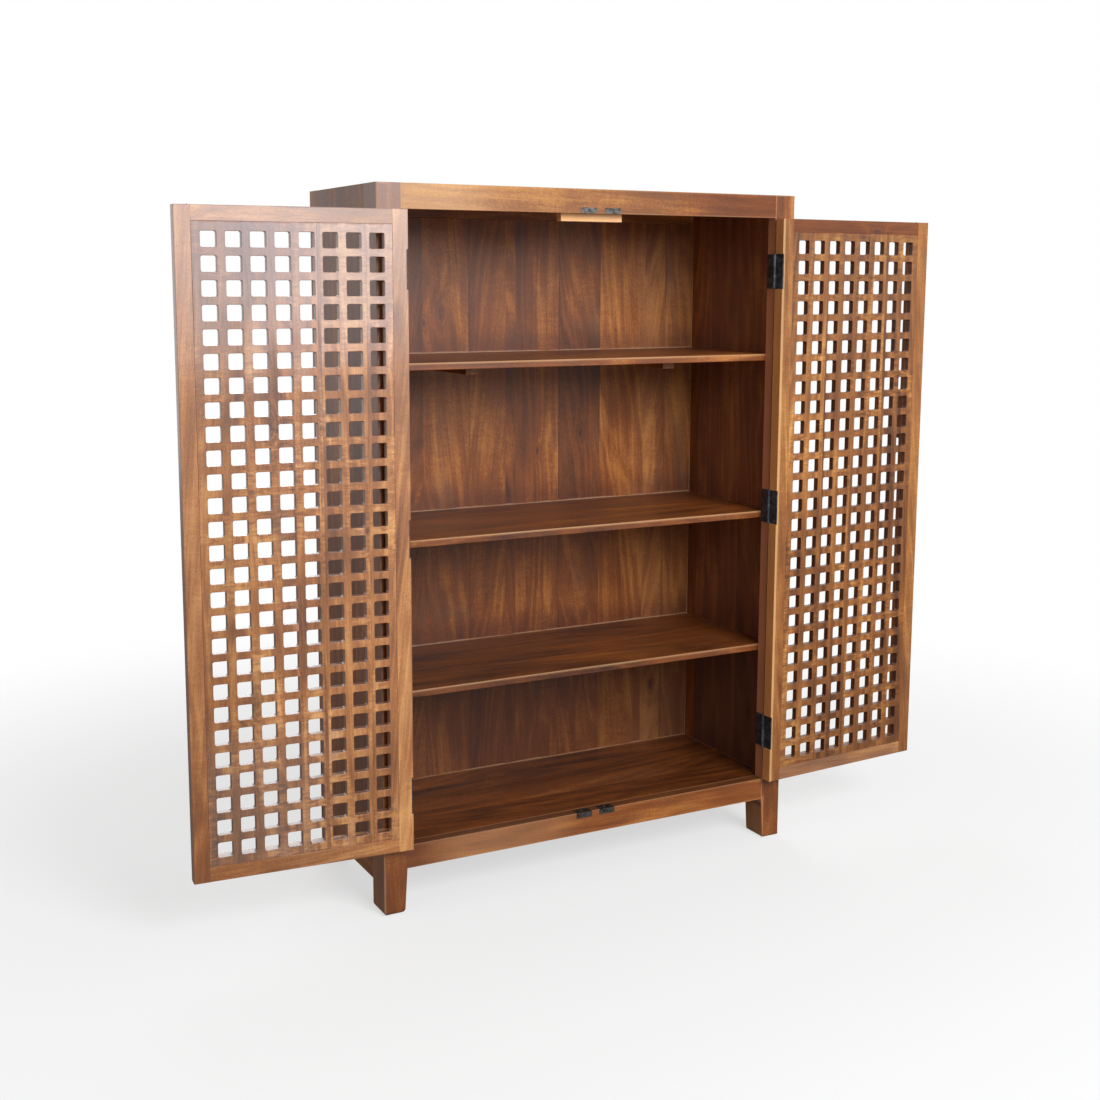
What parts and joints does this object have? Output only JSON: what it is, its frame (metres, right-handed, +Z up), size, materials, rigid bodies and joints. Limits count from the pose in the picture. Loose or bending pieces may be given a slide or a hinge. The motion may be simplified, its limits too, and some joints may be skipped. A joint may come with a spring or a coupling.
{
  "type": "book cabinet",
  "caption": "Tall wooden book cabinet on feet with fixed shelves and inset square-lattice doors hung on butt hinges, folded open.",
  "frame": {"origin": "on the floor, midway across and midway front to back of the whole cabinet with its doors folded open", "axes": "+X to the cabinet's right seen from the front, +Y to its back, +Z up"},
  "size_m": [1.7968, 0.4198, 1.5],
  "materials": {
    "case_wood": "walnut-brown stain under satin lacquer",
    "door_wood": "lighter brown stain, worn, satin lacquer",
    "pale_wood": "bare pale wood, lightly sealed",
    "black_steel": "matte black",
    "plate_steel": "dull plated steel"
  },
  "bodies": {
    "case": {"left_front_post": "case_wood", "right_front_post": "case_wood", "left_rear_post": "case_wood", "right_rear_post": "case_wood", "top_rail": "case_wood", "low_rail": "case_wood", "back_top_rail": "case_wood", "back_low_rail": "case_wood", "left_side_rail": "case_wood", "right_side_rail": "case_wood", "left_side_panel": "case_wood", "right_side_panel": "case_wood", "back_panel": "case_wood", "top_panel": "case_wood", "bottom_panel": "case_wood", "low_shelf": "case_wood", "middle_shelf": "case_wood", "high_shelf": "case_wood", "low_shelf_battens": "case_wood", "middle_shelf_battens": "case_wood", "high_shelf_battens": "case_wood", "door_stop": "pale_wood", "top_striking_plates": "plate_steel", "low_striking_plates": "plate_steel", "top_plate_screws": "plate_steel", "low_plate_screws": "plate_steel", "left_frame_leaves": "black_steel", "right_frame_leaves": "black_steel", "left_hinge_pins": "black_steel", "right_hinge_pins": "black_steel", "left_frame_screws": "black_steel", "right_frame_screws": "black_steel"},
    "left_door": {"left_hinge_stile": "door_wood", "left_free_stile": "door_wood", "left_bottom_rail": "door_wood", "left_top_rail": "door_wood", "left_lattice": "door_wood", "left_pull": "case_wood", "left_door_leaves": "black_steel", "left_door_screws": "black_steel", "left_ball_catches": "plate_steel", "left_catch_balls": "plate_steel"},
    "right_door": {"right_hinge_stile": "door_wood", "right_free_stile": "door_wood", "right_bottom_rail": "door_wood", "right_top_rail": "door_wood", "right_lattice": "door_wood", "right_pull": "case_wood", "right_door_leaves": "black_steel", "right_door_screws": "black_steel", "right_ball_catches": "plate_steel", "right_catch_balls": "plate_steel"}
  },
  "joints": [
    {"name": "left_door_hinge", "type": "hinge", "parent": "case", "child": "left_door", "pos_m": [-0.4495, -0.1815, 0.8], "axis": [0, 0, 1], "range_deg": [0, 184]},
    {"name": "right_door_hinge", "type": "hinge", "parent": "case", "child": "right_door", "pos_m": [0.4495, -0.1815, 0.8], "axis": [0, 0, 1], "range_deg": [-184, 0]}
  ]
}
